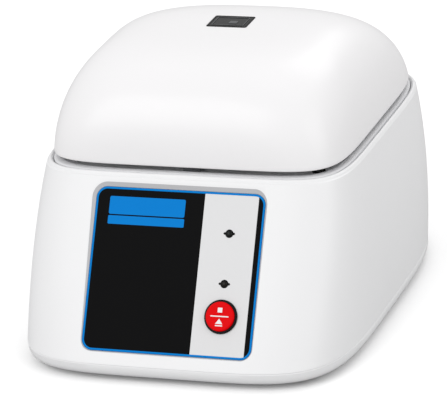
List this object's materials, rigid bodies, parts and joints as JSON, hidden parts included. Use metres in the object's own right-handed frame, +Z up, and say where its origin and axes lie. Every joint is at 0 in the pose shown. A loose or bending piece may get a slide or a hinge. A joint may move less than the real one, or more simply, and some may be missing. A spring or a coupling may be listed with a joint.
{
  "type": "microplate centrifuge",
  "caption": "Low bench centrifuge with a leaning control panel, a domed rear-hinged lid with a small window, and a rotor that holds microplates on edge.",
  "frame": {"origin": "on the bench under the middle of the machine's outline, at the bottom of the feet", "axes": "+Z up, +Y to the rear (the lid's hinge side), +X to the right as seen from the front"},
  "size_m": [0.25, 0.3194, 0.2034],
  "materials": {
    "housing_plastic": "satin moulded white",
    "lid_plastic": "glossy white",
    "black_plastic": "fine matt",
    "rubber": "matt",
    "grey_rubber": "matt",
    "bowl_steel": "drawn and brushed",
    "plated_steel": "zinc plated",
    "aluminium": "anodised",
    "carrier": "blue anodised",
    "panel_blue": "printed film",
    "panel_black": "printed film",
    "strip_grey": "printed film",
    "button_red": "gloss",
    "lamp_green": "tinted lens, unlit",
    "lamp_amber": "tinted lens, unlit",
    "board_green": "solder mask",
    "brass": "bright",
    "coil_copper": "lacquered winding",
    "window_smoke": "smoked clear plastic"
  },
  "bodies": {
    "machine": {"base_pan": "housing_plastic", "rubber_feet": "rubber", "housing": "housing_plastic", "rim_gasket": "rubber", "chamber_bowl": "bowl_steel", "chamber_gasket": "grey_rubber", "motor_plate": "plated_steel", "motor_isolators": "rubber", "motor_body": "aluminium", "shaft_boot": "rubber", "panel_border": "panel_blue", "label_panel": "panel_black", "status_strip": "strip_grey", "power_lamp": "lamp_green", "rotor_lamp": "lamp_amber", "button_ring_trim": "black_plastic", "button_switch": "black_plastic", "control_board": "board_green", "board_standoffs": "brass", "driver_board": "board_green", "heat_sink": "aluminium", "power_inlet": "black_plastic", "inlet_blades": "plated_steel", "rocker_frame": "black_plastic", "hinge_brackets": "plated_steel", "hinge_pins": "plated_steel", "latch_frame": "plated_steel", "latch_pin": "plated_steel", "solenoid_coil": "coil_copper", "lid_switch": "black_plastic", "lid_bumpers": "rubber"},
    "lid": {"lid_shell": "lid_plastic", "lid_liner": "housing_plastic", "lid_dish": "housing_plastic", "window_bezel": "black_plastic", "lid_window": "window_smoke", "port_tube": "black_plastic", "lid_striker": "plated_steel", "hinge_arms": "plated_steel"},
    "rotor": {"drive_shaft": "plated_steel", "rotor_hub": "aluminium", "rotor_yoke": "aluminium", "plate_carrier_left": "carrier", "plate_carrier_right": "carrier", "rotor_nut": "black_plastic"},
    "button": {"stop_button": "button_red"},
    "rocker": {"power_rocker": "black_plastic"},
    "hook": {"latch_hook": "plated_steel"},
    "plunger": {"solenoid_plunger": "plated_steel"}
  },
  "joints": [
    {"name": "lid_hinge", "type": "hinge", "parent": "machine", "child": "lid", "pos_m": [0, 0.15525, 0.137], "axis": [-1, 0, 0], "range_deg": [0, 78]},
    {"name": "rotor_spin", "type": "hinge", "parent": "machine", "child": "rotor", "pos_m": [0, 0.03275, 0.052], "axis": [0, 0, 1], "continuous": true},
    {"name": "stop_press", "type": "slide", "parent": "machine", "child": "button", "axis": [0, 0.8572, -0.515], "range_m": [0, 0.0025], "stiffness_N_per_m": 600, "springref_m": -0.002},
    {"name": "power_rock", "type": "hinge", "parent": "machine", "child": "rocker", "pos_m": [-0.028, 0.14625, 0.038], "axis": [1, 0, 0], "range_deg": [-14, 0]},
    {"name": "plunger_pull", "type": "slide", "parent": "machine", "child": "plunger", "axis": [-1, 0, 0], "range_m": [0, 0.0032], "stiffness_N_per_m": 150, "springref_m": -0.003},
    {"name": "latch_turn", "type": "hinge", "parent": "machine", "child": "hook", "pos_m": [0.02, -0.07015, 0.104], "axis": [0, 1, 0], "range_deg": [0, 11.6]}
  ],
  "couplings": [
    {"joint": "latch_turn", "follows": "plunger_pull", "rad_per_m": 62.5}
  ]
}
